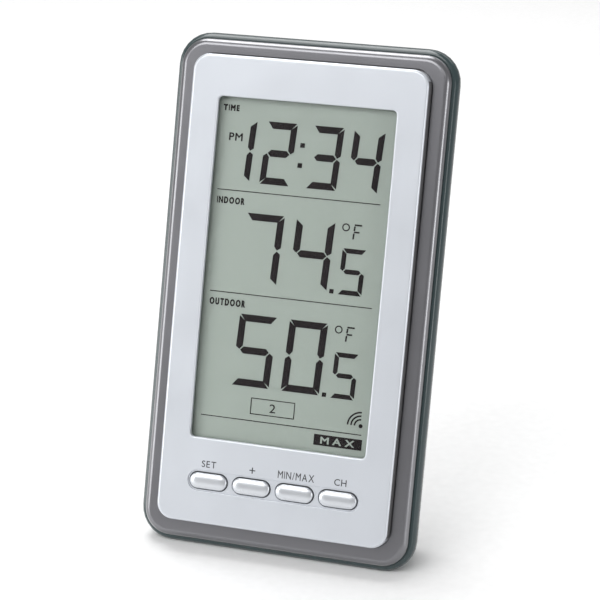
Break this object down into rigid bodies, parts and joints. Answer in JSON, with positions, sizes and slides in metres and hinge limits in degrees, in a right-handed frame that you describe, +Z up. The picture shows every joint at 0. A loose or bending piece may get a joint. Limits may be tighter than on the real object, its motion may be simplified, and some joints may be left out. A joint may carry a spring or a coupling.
{
  "type": "digital maximum minimum thermometer",
  "caption": "Slim upright digital thermometer and clock with a tall display window, domed capsule keys, a fold-out rear leg, a keyhole for hanging and a battery door.",
  "frame": {"origin": "centre of the box round the standing thermometer, on the surface it stands on", "axes": "+Z up, the face looks along -Y and leans back 15 degrees, +X to the right of a viewer who reads the display"},
  "size_m": [0.08, 0.0564, 0.1383],
  "materials": {
    "bezel_paint": "gunmetal metallic lacquer on moulded plastic",
    "panel_paint": "satin silver metallic lacquer on moulded plastic",
    "key_paint": "bright silver lacquer on moulded key caps",
    "silicone": "matt moulded silicone",
    "clear_window": "clear polished acrylic",
    "lcd_glass": "grey-green reflective liquid crystal glass",
    "reflector_foil": "satin reflector film",
    "zebra_rubber": "layered elastomer",
    "black_plastic": "matt moulded plastic",
    "circuit_board": "green solder mask on glass laminate",
    "plated_metal": "nickel-plated spring steel",
    "copper_wire": "enamelled copper winding",
    "black_wire": "wire insulation",
    "red_wire": "wire insulation",
    "battery_sleeve": "printed sleeve with bright metal ends",
    "cover_plastic": "dark teal-grey moulded plastic, glossy at the rim and fine-grained at the back",
    "steel": "zinc-plated"
  },
  "bodies": {
    "case": {"front_bezel": "bezel_paint", "face_panel": "panel_paint", "keypad": "silicone", "window_lens": "clear_window", "lcd_panel": "lcd_glass", "lcd_reflector": "reflector_foil", "zebra_strip_upper": "zebra_rubber", "zebra_strip_lower": "zebra_rubber", "lcd_frame": "black_plastic", "main_board": "circuit_board", "controller_chip": "black_plastic", "clock_crystal": "plated_metal", "receiver_header": "black_plastic", "receiver_board": "circuit_board", "receiver_coil": "copper_wire", "antenna_wire": "black_wire", "thermistor": "black_plastic", "battery_left": "battery_sleeve", "battery_right": "battery_sleeve", "contact_bridge": "plated_metal", "contact_positive": "plated_metal", "contact_negative": "plated_metal", "spring_bridge": "plated_metal", "spring_negative": "plated_metal", "wire_positive": "red_wire", "wire_negative": "black_wire", "rear_cover": "cover_plastic", "case_screw_1": "steel", "board_screw_1": "steel", "case_screw_2": "steel", "board_screw_2": "steel", "case_screw_3": "steel", "board_screw_3": "steel", "case_screw_4": "steel", "board_screw_4": "steel"},
    "set_key": {"set_key": "key_paint"},
    "plus_key": {"plus_key": "key_paint"},
    "min_max_key": {"min_max_key": "key_paint"},
    "channel_key": {"channel_key": "key_paint"},
    "battery_door": {"battery_door": "cover_plastic"},
    "stand": {"stand": "cover_plastic"}
  },
  "joints": [
    {"name": "set_key_press", "type": "slide", "parent": "case", "child": "set_key", "axis": [0, 0.9659, -0.2588], "range_m": [0, 0.0008], "stiffness_N_per_m": 300, "springref_m": -0.0006},
    {"name": "plus_key_press", "type": "slide", "parent": "case", "child": "plus_key", "axis": [0, 0.9659, -0.2588], "range_m": [0, 0.0008], "stiffness_N_per_m": 300, "springref_m": -0.0006},
    {"name": "min_max_key_press", "type": "slide", "parent": "case", "child": "min_max_key", "axis": [0, 0.9659, -0.2588], "range_m": [0, 0.0008], "stiffness_N_per_m": 300, "springref_m": -0.0006},
    {"name": "channel_key_press", "type": "slide", "parent": "case", "child": "channel_key", "axis": [0, 0.9659, -0.2588], "range_m": [0, 0.0008], "stiffness_N_per_m": 300, "springref_m": -0.0006},
    {"name": "battery_door_swing", "type": "hinge", "parent": "case", "child": "battery_door", "pos_m": [0, 0.00492, 0.04245], "axis": [-1, 0, 0], "range_deg": [0, 75]},
    {"name": "stand_fold", "type": "hinge", "parent": "case", "child": "stand", "pos_m": [0, 0.00155, 0.03606], "axis": [1, 0, 0], "range_deg": [-33.93, 0]}
  ]
}
